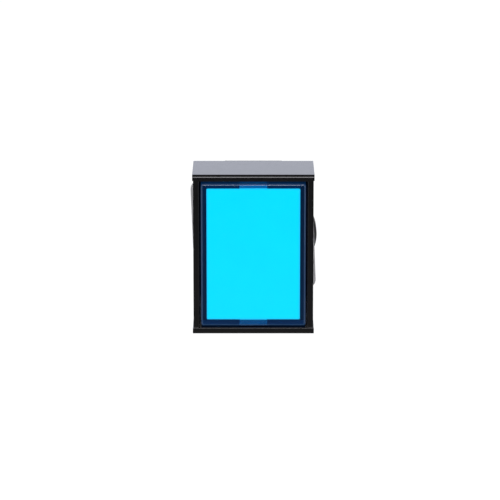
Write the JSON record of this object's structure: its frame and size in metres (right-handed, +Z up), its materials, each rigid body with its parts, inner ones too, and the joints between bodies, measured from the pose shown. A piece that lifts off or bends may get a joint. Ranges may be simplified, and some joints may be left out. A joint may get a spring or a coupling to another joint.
{
  "type": "illuminated push button switch",
  "caption": "Rectangular illuminated push button switch with a blue lens over a lit plate, black bezel, threaded barrel, ring nut and solder terminals; the button springs back.",
  "frame": {"origin": "on the barrel axis, in the plane of the gasket's rear face, where the switch meets the panel", "axes": "+Y along the barrel axis from the lens towards the terminals, +Z up along the bezel's long side, +X to the right seen from the front"},
  "size_m": [0.0193, 0.0453, 0.0242],
  "materials": {
    "bezel_black": "moulded gloss",
    "lens_blue": "clear tinted",
    "plate_lit": "translucent, lit from behind",
    "milky_white": "translucent",
    "carrier_black": "moulded satin",
    "spring_steel": "drawn wire",
    "gasket_rubber": "matt",
    "washer_steel": "zinc plated",
    "nut_black": "moulded satin",
    "case_black": "moulded satin",
    "base_grey": "moulded satin",
    "slider_white": "moulded satin",
    "contact_brass": "stamped",
    "tip_silver": "polished",
    "terminal_tinned": "tin plated",
    "led_clear": "clear epoxy",
    "lamp_white": "moulded satin"
  },
  "bodies": {
    "housing": {"bezel_housing": "bezel_black", "return_spring": "spring_steel", "panel_gasket": "gasket_rubber", "switch_case": "case_black", "terminal_base": "base_grey", "open_fixed_tips": "tip_silver", "closed_fixed_tips": "tip_silver", "open_contact_spring": "spring_steel", "closed_contact_spring": "spring_steel", "open_terminal_upper": "terminal_tinned", "open_terminal_lower": "terminal_tinned", "closed_terminal_upper": "terminal_tinned", "closed_terminal_lower": "terminal_tinned", "lamp_terminal_upper": "terminal_tinned", "lamp_terminal_lower": "terminal_tinned", "led_bulb": "led_clear", "lamp_base": "lamp_white", "lamp_pins": "terminal_tinned"},
    "button": {"lens_cap": "lens_blue", "marking_plate": "plate_lit", "light_diffuser": "milky_white", "plunger": "carrier_black", "contact_slider": "slider_white"},
    "open_contact": {"open_contact_bar": "contact_brass", "open_bar_tips": "tip_silver"},
    "closed_contact": {"closed_contact_bar": "contact_brass", "closed_bar_tips": "tip_silver"},
    "washer": {"lock_washer": "washer_steel"},
    "nut": {"mounting_nut": "nut_black"}
  },
  "joints": [
    {"name": "button_press", "type": "slide", "parent": "housing", "child": "button", "axis": [0, 1, 0], "range_m": [0, 0.0025], "stiffness_N_per_m": 500, "springref_m": -0.002, "deforming": ["return_spring", "open_contact_spring", "closed_contact_spring"]},
    {"name": "open_contact_slide", "type": "slide", "parent": "housing", "child": "open_contact", "axis": [0, 1, 0], "range_m": [0, 0.00126]},
    {"name": "closed_contact_slide", "type": "slide", "parent": "housing", "child": "closed_contact", "axis": [0, 1, 0], "range_m": [0, 0.00226]},
    {"name": "washer_slide", "type": "slide", "parent": "housing", "child": "washer", "axis": [0, 1, 0], "range_m": [-0.0014, 0.003]},
    {"name": "nut_turn", "type": "hinge", "parent": "washer", "child": "nut", "pos_m": [0, 0.00435, 0], "axis": [0, 1, 0], "range_deg": [-505, 1081]}
  ],
  "couplings": [
    {"joint": "open_contact_slide", "follows": "button_press", "ratio": 0.5},
    {"joint": "closed_contact_slide", "follows": "button_press", "ratio": 0.9},
    {"joint": "nut_turn", "follows": "washer_slide", "rad_per_m": 6283.2}
  ]
}
